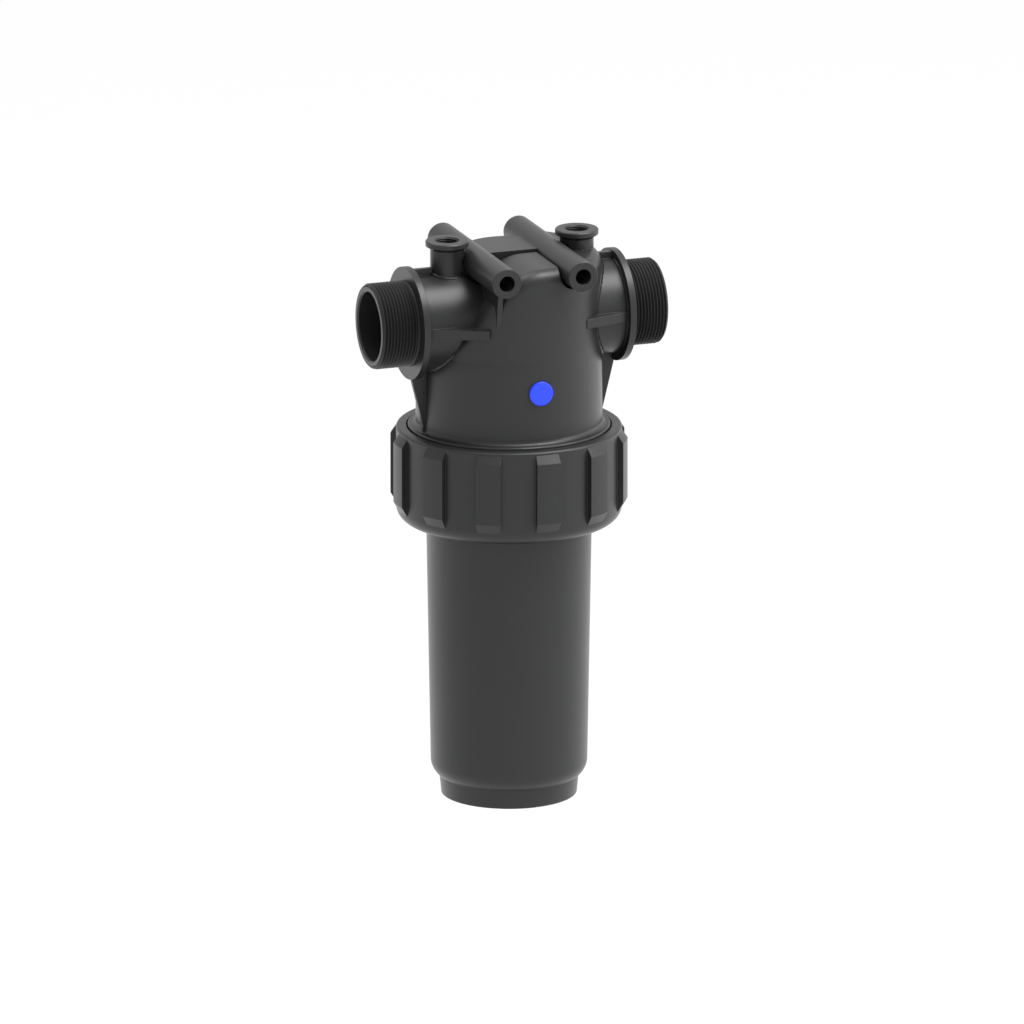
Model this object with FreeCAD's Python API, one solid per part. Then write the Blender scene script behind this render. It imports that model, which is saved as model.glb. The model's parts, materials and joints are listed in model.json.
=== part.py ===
import FreeCAD, Part
import math
import os

# Inline mesh filter, in millimetres. The bowl's axis is Z, the ports run along X, the front is -Y.

# Ports
PORT_HEIGHT = 343.4
PORT_OFFSET = -6.0
PORT_REACH = 104.3
PORT_THREAD_RADIUS = 29.8
PORT_BORE_RADIUS = 24.0
PORT_LEAD_IN = 1.6
INLET_START = 34.0
MOUTH_CHAMFER = 1.0
DISC_RADIUS = 39.1
DISC_FACE = 77.5
DISC_THICKNESS = 4.6
NECK_RADIUS = 33.2
NECK_GROWTH = 1.8

# Barrel, dome and collar of the head
BARREL_RADIUS = 64.5
BARREL_DRAFT = 0.5
BARREL_TOP_RADIUS = BARREL_RADIUS - BARREL_DRAFT
DOME_DROP = 28.4
DOME_BASE = PORT_HEIGHT - DOME_DROP
COLLAR_TOP = 264.6
COLLAR_STEP = 5.4
COLLAR_RADIUS = BARREL_RADIUS + COLLAR_STEP
COLLAR_EDGE = 0.7
COLLAR_FILLET = 3.0
SKIRT_BOTTOM = 212.0
SKIRT_WALL = 8.3
SKIRT_BORE_RADIUS = COLLAR_RADIUS - SKIRT_WALL
SKIRT_BORE_TOP = 237.0
HEAD_WALL = 5.0

# Raised outlet chamber on the front and the right
CHAMBER_STEP = 0.4
CHAMBER_RADIUS = BARREL_TOP_RADIUS - CHAMBER_STEP
CHAMBER_RISE = 43.6
CHAMBER_TOP = PORT_HEIGHT + CHAMBER_RISE
CHAMBER_BASE_RISE = 5.0
CHAMBER_BASE = DOME_BASE + CHAMBER_BASE_RISE
CHAMBER_EDGE = 9.0
VAULT_RADIUS = 34.6
VAULT_CENTRE = 5.0
VAULT_END = 145.0
CHAMBER_BACK = -11.5
CHAMBER_SIDE = 18.0
CHAMBER_WALL = 5.4

# Round block over the outlet elbow
BLOCK_RADIUS = 35.2
BLOCK_RISE = 1.4
BLOCK_TOP = CHAMBER_TOP + BLOCK_RISE
BLOCK_EDGE = 3.0
BLOCK_FRONT = -7.5

# Outlet elbow and its spigot
ELBOW_BORE_RADIUS = 23.5
ELBOW_RADIUS = 28.6
SPIGOT_DROP = 71.4
SPIGOT_BOTTOM = PORT_HEIGHT - SPIGOT_DROP
SPIGOT_LEAD_IN = 1.5

# Through tubes for the fixing bolts
TUBE_SPACING = 55.6
TUBE_RISE = 40.2
TUBE_HEIGHT = PORT_HEIGHT + TUBE_RISE
TUBE_RADIUS = 10.6
TUBE_BORE_RADIUS = 5.6
TUBE_FRONT = -73.5
TUBE_BACK = 59.5
TUBE_EDGE = 0.4
TUBE_WEB_THICKNESS = 3.7
TUBE_RELIEF = 1.8
TUBE_RELIEF_WALL = 4.0
TUBE_WEB_TOP_FRONT = -61.2
TUBE_WEB_LOW_FRONT = -57.0
TUBE_WEB_SUNK_FRONT = -54.0
TUBE_WEB_TOP_BACK = 50.0
TUBE_WEB_LOW_BACK = 40.0
TUBE_WEB_LOW_DROP = 35.6
TUBE_WEB_TOP_DROP = 7.6
TUBE_WEB_LOW = TUBE_HEIGHT - TUBE_WEB_LOW_DROP
TUBE_WEB_TOP = TUBE_HEIGHT - TUBE_WEB_TOP_DROP

# Gauge bosses
BOSS_SPACING = 94.8
BOSS_RISE = 56.4
BOSS_TOP = PORT_HEIGHT + BOSS_RISE
BOSS_RADIUS = 11.7
BOSS_FLANGE_RADIUS = 15.0
BOSS_FLANGE_THICKNESS = 3.6
BOSS_FLANGE_TAPER = 2.2
BOSS_EDGE = 0.7
BOSS_ROOT_RISE = 2.5
GAUGE_HOLE_RADIUS = 7.5
GAUGE_HOLE_SINK = 2.4
GAUGE_CHAMFER = 1.1

# Ribs and webs
RIB_THICKNESS = 3.6
TOP_RIB_RISE = 38.0
GUSSET_TOP_REACH = 73.8
GUSSET_DROP = 40.4
GUSSET_LOW_REACH = 65.8
GUSSET_FOOT = 6.0
SIDE_WEB_RISE = 3.1
SIDE_WEB_TOP = PORT_HEIGHT + SIDE_WEB_RISE
SIDE_WEB_THICKNESS = 6.6
SIDE_WEB_DISC_DEPTH = 34.5
SIDE_WEB_LEFT_END = (34.5, -56.5)
SIDE_WEB_RIGHT_END = (38.7, -51.0)
SIDE_WEB_BACK_END = (36.0, 46.0)

# Indicator cap
CAP_RADIUS = 8.5
CAP_DROP = 14.0
CAP_HEIGHT = DOME_BASE - CAP_DROP
CAP_PROUD = 1.3
CAP_EDGE = 0.9
CAP_STEM_RADIUS = 6.0
CAP_HEAD_THICKNESS = 2.6
CAP_DEPTH = 4.0

# Ring nut
NUT_BOTTOM = 196.0
NUT_TOP = 263.0
NUT_WALL = 8.1
NUT_RADIUS = COLLAR_RADIUS + NUT_WALL
NUT_FOOT_RISE = 10.0
NUT_SHOULDER = NUT_BOTTOM + NUT_FOOT_RISE
NUT_TOP_EDGE = 2.0
NUT_LIP_TOP = 203.2
NUT_LIP_CLEARANCE = 1.2
NUT_FOOT_INSET = 11.0
NUT_FOOT_RADIUS = NUT_RADIUS - NUT_FOOT_INSET
NUT_BORE_CLEARANCE = 0.5
NUT_MOUTH_CLEARANCE = 1.1
NUT_MOUTH_DEPTH = 2.0
GRIP_COUNT = 12
GRIP_RISE = 4.0
GRIP_RADIUS = NUT_RADIUS + GRIP_RISE
GRIP_ANGLE = 12.2
GRIP_BOTTOM = 205.8
GRIP_LOW = 212.6
GRIP_HIGH = 255.0
GRIP_TOP = 260.8
GRIP_SINK = 1.0

# Bowl
FLANGE_INSET = 0.3
FLANGE_RADIUS = COLLAR_RADIUS - FLANGE_INSET
FLANGE_WIDTH = 12.3
BOWL_HIGH_RADIUS = FLANGE_RADIUS - FLANGE_WIDTH
BOWL_TAPER = 3.1
BOWL_LOW_RADIUS = BOWL_HIGH_RADIUS - BOWL_TAPER
BOWL_FOOT_STEP = 6.0
BOWL_FOOT_TOP_RADIUS = BOWL_LOW_RADIUS - BOWL_FOOT_STEP
BOWL_FOOT_TAPER = 1.2
BOWL_FOOT_RADIUS = BOWL_FOOT_TOP_RADIUS - BOWL_FOOT_TAPER
BOWL_FOOT_HEIGHT = 13.4
BOWL_FOOT_EDGE = 0.9
BOWL_FOOT_RIM = 7.0
BOWL_FOOT_RECESS = 5.0
BOWL_ROUND_SAG = 1.8
BOWL_ROUND_MID_RADIUS = BOWL_LOW_RADIUS - BOWL_ROUND_SAG
BOWL_ROUND_MID = 18.0
BOWL_ROUND_TOP = 25.0
BOWL_WALL = 4.8
BOWL_FLOOR = 12.0
BOWL_FLOOR_ROUND = 8.0
FLANGE_GAP = 0.3
BOWL_SPIGOT_TOP = 229.0
BOWL_SPIGOT_CLEARANCE = 0.4
BOWL_SPIGOT_LEAD_IN = 1.0
LOCATOR_RADIUS = 33.0
LOCATOR_THICKNESS = 2.6
LOCATOR_HEIGHT = 8.0

# Slip ring between the nut's lip and the bowl's flange
SLIP_THICKNESS = 1.2
SLIP_BORE_CLEARANCE = 0.8
SLIP_RIM_CLEARANCE = 1.0

# Bowl seal
BOWL_SEAL_SECTION = 2.4
BOWL_SEAL_DROP = 8.0
BOWL_SEAL_HEIGHT = BOWL_SPIGOT_TOP - BOWL_SEAL_DROP
BOWL_SEAL_GROOVE_HALF = 3.2
BOWL_SEAL_GROOVE_DEPTH = 4.4

# Screen
SCREEN_RADIUS = 42.0
SCREEN_SPIGOT_COVER = 19.0
SCREEN_TOP = SPIGOT_BOTTOM + SCREEN_SPIGOT_COVER
SCREEN_TOP_RING_HEIGHT = 20.0
SCREEN_SOCKET_CLEARANCE = 0.4
SCREEN_LIP_HEIGHT = 2.6
SCREEN_LIP_RADIUS = 24.0
SCREEN_BOTTOM = 22.0
SCREEN_BOTTOM_CAP_HEIGHT = 14.0
SCREEN_PLATE_THICKNESS = 3.0
STUB_CLEARANCE = 0.5
STUB_WALL = 3.0
STUB_FLOOR_GAP = 0.5
CAGE_RADIUS = 38.6
CAGE_WALL = 3.2
CAGE_HOOP_COUNT = 9
CAGE_HOOP_HEIGHT = 3.0
CAGE_RIB_COUNT = 12
CAGE_RIB_WIDTH = 3.2
CAGE_SEAT = 5.0
MESH_CLEARANCE = 0.1
MESH_THICKNESS = 0.5
SCREEN_SEAL_SECTION = 1.8
SCREEN_SEAL_DROP = 5.6

# How far one solid runs into the next where they are joined
OVERLAP = 1.0
TOLERANCE = 0.001

ORIGIN = FreeCAD.Vector(0, 0, 0)
X_AXIS = FreeCAD.Vector(1, 0, 0)
Z_AXIS = FreeCAD.Vector(0, 0, 1)
HALF = 0.5
FULL_TURN = 360.0


def at(x, y, z):
    return FreeCAD.Vector(x, y, z)


def cylinder(radius, start, end):
    """Round bar between two points."""
    return Part.makeCylinder(radius, (end - start).Length, start, end - start)


def cone(start_radius, end_radius, start, end):
    """Tapered bar between two points."""
    return Part.makeCone(start_radius, end_radius, (end - start).Length, start, end - start)


def wire(points):
    """Closed wire in the XZ plane. An entry that holds two points is an arc: its middle and its end."""
    corners = [entry[-1] if isinstance(entry[0], tuple) else entry for entry in points]
    edges = []
    for index, entry in enumerate(points):
        previous = corners[index - 1]
        start = at(previous[0], 0, previous[1])
        if isinstance(entry[0], tuple):
            middle = at(entry[0][0], 0, entry[0][1])
            finish = at(entry[1][0], 0, entry[1][1])
            edges.append(Part.Arc(start, middle, finish).toShape())
        else:
            edges.append(Part.makeLine(start, at(entry[0], 0, entry[1])))
    return Part.Wire(edges)


def turned(points, angle=FULL_TURN):
    """Solid turned about Z from a half section of radius and height."""
    return Part.Face(wire(points)).revolve(ORIGIN, Z_AXIS, angle)


def slab_along_y(points, front, back):
    """Plate with an outline in X and Z, running from front to back along Y."""
    face = Part.Face(wire(points))
    face.translate(at(0, front, 0))
    return face.extrude(at(0, back - front, 0))


def slab_along_x(points, left, right):
    """Plate with an outline in Y and Z, running from left to right along X."""
    outline = Part.makePolygon([at(left, y, z) for y, z in points + points[:1]])
    return Part.Face(outline).extrude(at(right - left, 0, 0))


def slab_along_z(points, bottom, top):
    """Plate with an outline in X and Y, running up along Z."""
    outline = Part.makePolygon([at(x, y, bottom) for x, y in points + points[:1]])
    return Part.Face(outline).extrude(at(0, 0, top - bottom))


def quarter(centre, radius, start_angle, end_angle):
    """Arc entry for a wire: the middle and the end of a circle's arc, angles in degrees from +X."""
    middle_angle = (start_angle + end_angle) * HALF
    points = []
    for angle in (middle_angle, end_angle):
        turn = math.radians(angle)
        points.append((centre[0] + radius * math.cos(turn), centre[1] + radius * math.sin(turn)))
    return tuple(points)


def joined(solids):
    """One solid out of several that run into each other."""
    return solids[0].fuse(solids[1:]).removeSplitter()


def mirrored(solid):
    """Mirror image across the plane between the ports."""
    return solid.mirror(ORIGIN, X_AXIS)


def both_sides(solid):
    return [solid, mirrored(solid)]


def port_point(reach):
    return at(reach, PORT_OFFSET, PORT_HEIGHT)


def port_outside():
    """Neck, round flange and spigot of the right port."""
    neck_end = DISC_FACE - DISC_THICKNESS
    neck = cone(NECK_RADIUS + NECK_GROWTH, NECK_RADIUS, port_point(0), port_point(neck_end + OVERLAP))
    disc = cylinder(DISC_RADIUS, port_point(neck_end), port_point(DISC_FACE))
    spigot_end = PORT_REACH - PORT_LEAD_IN
    spigot = cylinder(PORT_THREAD_RADIUS, port_point(neck_end), port_point(spigot_end))
    tip_radius = PORT_THREAD_RADIUS - PORT_LEAD_IN
    tip = cone(PORT_THREAD_RADIUS, tip_radius, port_point(spigot_end), port_point(PORT_REACH))
    return joined([neck, disc, spigot, tip])


def port_ribs():
    """Rib on top of the right neck and gusset below it."""
    half_rib = RIB_THICKNESS * HALF
    boss_reach = BOSS_SPACING * HALF
    front = PORT_OFFSET - half_rib
    back = PORT_OFFSET + half_rib
    neck_end = DISC_FACE - DISC_THICKNESS + OVERLAP
    rib_top = PORT_HEIGHT + TOP_RIB_RISE
    top_rib = slab_along_y([(boss_reach, PORT_HEIGHT), (neck_end, PORT_HEIGHT),
                            (neck_end, rib_top), (boss_reach, rib_top)], front, back)
    inner = BARREL_RADIUS - HEAD_WALL * HALF
    gusset = slab_along_y([(inner, COLLAR_TOP - OVERLAP), (GUSSET_LOW_REACH, COLLAR_TOP - OVERLAP),
                           (GUSSET_LOW_REACH, COLLAR_TOP + GUSSET_FOOT),
                           (GUSSET_TOP_REACH, PORT_HEIGHT - GUSSET_DROP),
                           (GUSSET_TOP_REACH, PORT_HEIGHT - NECK_RADIUS + OVERLAP),
                           (inner, PORT_HEIGHT - NECK_RADIUS + OVERLAP)], front, back)
    return [top_rib, gusset]


def side_web(end):
    """Level web from the right disc to its end on the barrel, in front of the neck or behind it."""
    side = math.copysign(1, end[1])
    neck_end = DISC_FACE - DISC_THICKNESS + OVERLAP
    disc_edge = PORT_OFFSET + side * SIDE_WEB_DISC_DEPTH
    neck_core = PORT_OFFSET + side * NECK_RADIUS * HALF
    outline = [(neck_end, neck_core), (neck_end, disc_edge), end, (end[0], neck_core)]
    return slab_along_z(outline, SIDE_WEB_TOP - SIDE_WEB_THICKNESS, SIDE_WEB_TOP)


def gauge_boss():
    """Right gauge boss with its flange, rooted in the wall of the water passage under it."""
    x = BOSS_SPACING * HALF
    root = PORT_HEIGHT + PORT_BORE_RADIUS + BOSS_ROOT_RISE
    flange_bottom = BOSS_TOP - BOSS_FLANGE_THICKNESS
    boss = turned([(0, root), (BOSS_RADIUS, root), (BOSS_RADIUS, flange_bottom - BOSS_FLANGE_TAPER),
                   (BOSS_FLANGE_RADIUS, flange_bottom),
                   (BOSS_FLANGE_RADIUS, BOSS_TOP - BOSS_EDGE),
                   (BOSS_FLANGE_RADIUS - BOSS_EDGE, BOSS_TOP), (0, BOSS_TOP)])
    boss.translate(at(x, PORT_OFFSET, 0))
    return boss


def gauge_hole():
    """Threaded hole of the right gauge boss, straight down into the water passage."""
    bottom = PORT_HEIGHT + PORT_BORE_RADIUS - GAUGE_HOLE_SINK
    hole = turned([(0, bottom), (GAUGE_HOLE_RADIUS, bottom),
                   (GAUGE_HOLE_RADIUS, BOSS_TOP - GAUGE_CHAMFER),
                   (GAUGE_HOLE_RADIUS + GAUGE_CHAMFER, BOSS_TOP),
                   (GAUGE_HOLE_RADIUS + GAUGE_CHAMFER, BOSS_TOP + OVERLAP), (0, BOSS_TOP + OVERLAP)])
    hole.translate(at(BOSS_SPACING * HALF, PORT_OFFSET, 0))
    return hole


def tube_point(y):
    return at(TUBE_SPACING * HALF, y, TUBE_HEIGHT)


def bolt_tube():
    """Right through tube with its edges broken."""
    tip_radius = TUBE_RADIUS - TUBE_EDGE
    front = cone(tip_radius, TUBE_RADIUS, tube_point(TUBE_FRONT), tube_point(TUBE_FRONT + TUBE_EDGE))
    body = cylinder(TUBE_RADIUS, tube_point(TUBE_FRONT + TUBE_EDGE), tube_point(TUBE_BACK - TUBE_EDGE))
    back = cone(TUBE_RADIUS, tip_radius, tube_point(TUBE_BACK - TUBE_EDGE), tube_point(TUBE_BACK))
    return joined([front, body, back])


def tube_relief(clearance, back):
    """Room round the right tube, from its front to the back of the chamber."""
    return cylinder(TUBE_RADIUS + clearance, tube_point(TUBE_FRONT), tube_point(back))


def tube_web(low_front, top_front):
    """Upright web that carries the right tube on the dome."""
    outline = [(low_front, TUBE_WEB_LOW), (top_front, TUBE_WEB_TOP),
               (TUBE_WEB_TOP_BACK, TUBE_WEB_TOP), (TUBE_WEB_LOW_BACK, TUBE_WEB_LOW)]
    middle = TUBE_SPACING * HALF
    half_web = TUBE_WEB_THICKNESS * HALF
    return slab_along_x(outline, middle - half_web, middle + half_web)


def rim_edges(solid, radius, base):
    """Edges of an upright drum's top rim: on its round wall, above its base and not upright."""
    edges = []
    for edge in solid.Edges:
        ends = (edge.valueAt(edge.FirstParameter), edge.valueAt(edge.LastParameter))
        middle = edge.valueAt((edge.FirstParameter + edge.LastParameter) * HALF)
        on_wall = all(abs(math.hypot(point.x, point.y) - radius) < TOLERANCE for point in ends + (middle,))
        upright = math.hypot(ends[0].x - ends[1].x, ends[0].y - ends[1].y) < TOLERANCE
        if on_wall and not upright and middle.z > base + TOLERANCE:
            edges.append(edge)
    return edges


def chamber(inset, edge):
    """Raised chamber: a drum under a vault that slopes down to the left, its rim rounded; inset by a wall."""
    radius = CHAMBER_RADIUS - inset
    top = CHAMBER_TOP - inset
    base = CHAMBER_BASE
    vault = VAULT_RADIUS - inset
    spring = CHAMBER_TOP - VAULT_RADIUS
    slope = math.radians(VAULT_END)
    slope_top = (VAULT_CENTRE + vault * math.cos(slope), spring + vault * math.sin(slope))
    slope_foot = (slope_top[0] + (slope_top[1] - base) * math.tan(slope), base)
    right = CHAMBER_RADIUS + OVERLAP
    arch = slab_along_y([(right, base), slope_foot, slope_top,
                         quarter((VAULT_CENTRE, spring), vault, VAULT_END, 90), (right, top)], -right, right)
    drum = cylinder(radius, at(0, 0, base), at(0, 0, top)).common(arch)
    if edge > 0:
        drum = drum.makeFillet(edge, rim_edges(drum, radius, base))
    middle = CHAMBER_BACK - inset
    side = CHAMBER_SIDE + inset
    plan = slab_along_z([(-right, -right), (right, -right), (right, right), (side, right),
                         (side, middle), (-right, middle)], base, top + OVERLAP)
    return drum.common(plan)


def elbow_block():
    """Round block over the elbow, cut straight across its front."""
    radius = BLOCK_RADIUS
    block = turned([(0, DOME_BASE), (radius, DOME_BASE), (radius, BLOCK_TOP - BLOCK_EDGE),
                    quarter((radius - BLOCK_EDGE, BLOCK_TOP - BLOCK_EDGE), BLOCK_EDGE, 0, 90),
                    (0, BLOCK_TOP)])
    plan = slab_along_z([(-radius, BLOCK_FRONT), (radius, BLOCK_FRONT),
                         (radius, radius), (-radius, radius)], DOME_BASE, BLOCK_TOP)
    return block.common(plan)


def barrel():
    """Skirt, collar, barrel and dome, all turned."""
    fillet_centre = (BARREL_RADIUS + COLLAR_FILLET, COLLAR_TOP + COLLAR_FILLET)
    return turned([(0, SKIRT_BOTTOM), (COLLAR_RADIUS - COLLAR_EDGE, SKIRT_BOTTOM),
                   (COLLAR_RADIUS, SKIRT_BOTTOM + COLLAR_EDGE), (COLLAR_RADIUS, COLLAR_TOP - COLLAR_EDGE),
                   (COLLAR_RADIUS - COLLAR_EDGE, COLLAR_TOP), (fillet_centre[0], COLLAR_TOP),
                   quarter(fillet_centre, COLLAR_FILLET, 270, 180),
                   (BARREL_TOP_RADIUS, DOME_BASE),
                   quarter((0, DOME_BASE), BARREL_TOP_RADIUS, 0, 90)])


def head_hollow():
    """Water space of the head: skirt bore, barrel and dome, and the raised chamber."""
    inner = BARREL_TOP_RADIUS - HEAD_WALL
    space = turned([(0, SKIRT_BOTTOM - OVERLAP), (SKIRT_BORE_RADIUS, SKIRT_BOTTOM - OVERLAP),
                    (SKIRT_BORE_RADIUS, SKIRT_BORE_TOP), (inner, SKIRT_BORE_TOP + OVERLAP),
                    (inner, DOME_BASE), quarter((0, DOME_BASE), inner, 0, 90)])
    space = space.fuse(chamber(CHAMBER_WALL, 0))
    for solid in both_sides(tube_relief(TUBE_RELIEF + TUBE_RELIEF_WALL, CHAMBER_BACK + TUBE_RELIEF_WALL)):
        space = space.cut(solid)
    return space


def elbow(radius, bottom, right):
    """Pipe that rises on the bowl's axis and turns to the right port."""
    rise = cylinder(radius, at(0, 0, bottom), at(0, 0, PORT_HEIGHT))
    corner = Part.makeSphere(radius, at(0, 0, PORT_HEIGHT))
    joint = cylinder(radius, at(0, 0, PORT_HEIGHT), at(0, PORT_OFFSET, PORT_HEIGHT))
    turn = Part.makeSphere(radius, port_point(0))
    run = cylinder(radius, port_point(0), port_point(right))
    return joined([rise, corner, joint, turn, run])


def cap_seat():
    """Stepped hole in the barrel's front for the indicator cap."""
    centre_front = -BARREL_RADIUS - CAP_PROUD
    stem = cylinder(CAP_STEM_RADIUS, at(0, centre_front, CAP_HEIGHT), at(0, cap_back(), CAP_HEIGHT))
    head = cylinder(CAP_RADIUS, at(0, centre_front, CAP_HEIGHT), at(0, cap_shoulder(), CAP_HEIGHT))
    return joined([stem, head])


def cap_shoulder():
    return CAP_HEAD_THICKNESS - BARREL_RADIUS - CAP_PROUD


def cap_back():
    return CAP_DEPTH - BARREL_RADIUS - CAP_PROUD


def filter_head():
    """The whole head as one moulding."""
    outside = [barrel(), chamber(0, CHAMBER_EDGE), elbow_block(),
               side_web(SIDE_WEB_RIGHT_END), mirrored(side_web(SIDE_WEB_LEFT_END))]
    for solid in [port_outside(), side_web(SIDE_WEB_BACK_END)] + port_ribs():
        outside += both_sides(solid)
    head = joined(outside).cut(head_hollow()).fuse(both_sides(gauge_boss()))
    for solid in both_sides(tube_relief(TUBE_RELIEF, CHAMBER_BACK)):
        head = head.cut(solid)
    pipe = elbow(ELBOW_RADIUS, SPIGOT_BOTTOM + SPIGOT_LEAD_IN, BARREL_RADIUS)
    lead_in = cone(ELBOW_RADIUS - SPIGOT_LEAD_IN * HALF, ELBOW_RADIUS, at(0, 0, SPIGOT_BOTTOM),
                   at(0, 0, SPIGOT_BOTTOM + SPIGOT_LEAD_IN))
    webs = [tube_web(TUBE_WEB_SUNK_FRONT, TUBE_WEB_SUNK_FRONT),
            mirrored(tube_web(TUBE_WEB_LOW_FRONT, TUBE_WEB_TOP_FRONT))]
    head = head.fuse([pipe, lead_in] + webs + both_sides(bolt_tube()))
    cuts = [elbow(ELBOW_BORE_RADIUS, SPIGOT_BOTTOM - OVERLAP, PORT_REACH + OVERLAP)]
    cuts.append(cylinder(PORT_BORE_RADIUS, port_point(-INLET_START), port_point(-PORT_REACH - OVERLAP)))
    cuts.append(cylinder(PORT_BORE_RADIUS, port_point(BARREL_RADIUS), port_point(PORT_REACH + OVERLAP)))
    mouth_start = port_point(PORT_REACH - MOUTH_CHAMFER)
    mouth = cone(PORT_BORE_RADIUS, PORT_BORE_RADIUS + MOUTH_CHAMFER, mouth_start, port_point(PORT_REACH))
    bore = cylinder(TUBE_BORE_RADIUS, tube_point(TUBE_FRONT - OVERLAP), tube_point(TUBE_BACK + OVERLAP))
    for solid in (mouth, bore, gauge_hole()):
        cuts += both_sides(solid)
    cuts.append(cap_seat())
    for solid in cuts:
        head = head.cut(solid)
    return head.removeSplitter()


def indicator_cap():
    """Cap with a rounded front edge and a short stem."""
    depth = CAP_DEPTH
    shoulder = CAP_HEAD_THICKNESS
    cap = turned([(0, 0), (CAP_STEM_RADIUS, 0), (CAP_STEM_RADIUS, depth - shoulder),
                  (CAP_RADIUS, depth - shoulder), (CAP_RADIUS, depth - CAP_EDGE),
                  quarter((CAP_RADIUS - CAP_EDGE, depth - CAP_EDGE), CAP_EDGE, 0, 90), (0, depth)])
    cap.rotate(ORIGIN, X_AXIS, 90)
    cap.translate(at(0, cap_back(), CAP_HEIGHT))
    return cap


def nut_bore():
    return COLLAR_RADIUS + NUT_BORE_CLEARANCE


def bowl_radius(height):
    """Outer radius of the bowl's tapered wall at a height."""
    share = (height - BOWL_ROUND_TOP) / (NUT_LIP_TOP - BOWL_ROUND_TOP)
    return BOWL_LOW_RADIUS + share * (BOWL_HIGH_RADIUS - BOWL_LOW_RADIUS)


def grip():
    """One raised grip of the nut, centred on +X."""
    root = (NUT_RADIUS + nut_bore()) * HALF
    sunk = NUT_RADIUS - GRIP_SINK
    height = GRIP_RADIUS - NUT_RADIUS
    low = GRIP_BOTTOM - GRIP_SINK * (GRIP_LOW - GRIP_BOTTOM) / height
    high = GRIP_TOP + GRIP_SINK * (GRIP_TOP - GRIP_HIGH) / height
    block = turned([(root, low), (sunk, low), (GRIP_RADIUS, GRIP_LOW),
                    (GRIP_RADIUS, GRIP_HIGH), (sunk, high), (root, high)], GRIP_ANGLE)
    block.rotate(ORIGIN, Z_AXIS, -GRIP_ANGLE * HALF)
    return block


def ring_nut():
    """Union nut: inner lip, bore, open mouth and twelve grips, one of them at the front."""
    lip = BOWL_HIGH_RADIUS + NUT_LIP_CLEARANCE
    mouth = COLLAR_RADIUS + NUT_MOUTH_CLEARANCE
    rise = NUT_SHOULDER - NUT_BOTTOM
    swell = NUT_RADIUS - NUT_FOOT_RADIUS
    round_mid = (NUT_FOOT_RADIUS + swell * math.sin(math.radians(45)),
                 NUT_SHOULDER - rise * math.cos(math.radians(45)))
    body = turned([(lip, NUT_BOTTOM), (NUT_FOOT_RADIUS, NUT_BOTTOM), (round_mid, (NUT_RADIUS, NUT_SHOULDER)),
                   (NUT_RADIUS, NUT_TOP - NUT_TOP_EDGE),
                   quarter((NUT_RADIUS - NUT_TOP_EDGE, NUT_TOP - NUT_TOP_EDGE), NUT_TOP_EDGE, 0, 90),
                   (mouth, NUT_TOP), (mouth, NUT_TOP - NUT_MOUTH_DEPTH),
                   (nut_bore(), NUT_TOP - NUT_MOUTH_DEPTH - NUT_BORE_CLEARANCE),
                   (nut_bore(), NUT_LIP_TOP), (lip, NUT_LIP_TOP)])
    grips = []
    for index in range(GRIP_COUNT):
        copy = grip()
        copy.rotate(ORIGIN, Z_AXIS, -90 + index * FULL_TURN / GRIP_COUNT)
        grips.append(copy)
    return joined([body] + grips)


def slip_bottom():
    return NUT_LIP_TOP + FLANGE_GAP * HALF


def slip_top():
    return slip_bottom() + SLIP_THICKNESS


def slip_ring():
    """Flat washer that lets the nut turn under the bowl's flange."""
    bore = BOWL_HIGH_RADIUS + SLIP_BORE_CLEARANCE
    rim = nut_bore() - SLIP_RIM_CLEARANCE
    return turned([(bore, slip_bottom()), (rim, slip_bottom()), (rim, slip_top()), (bore, slip_top())])


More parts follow.
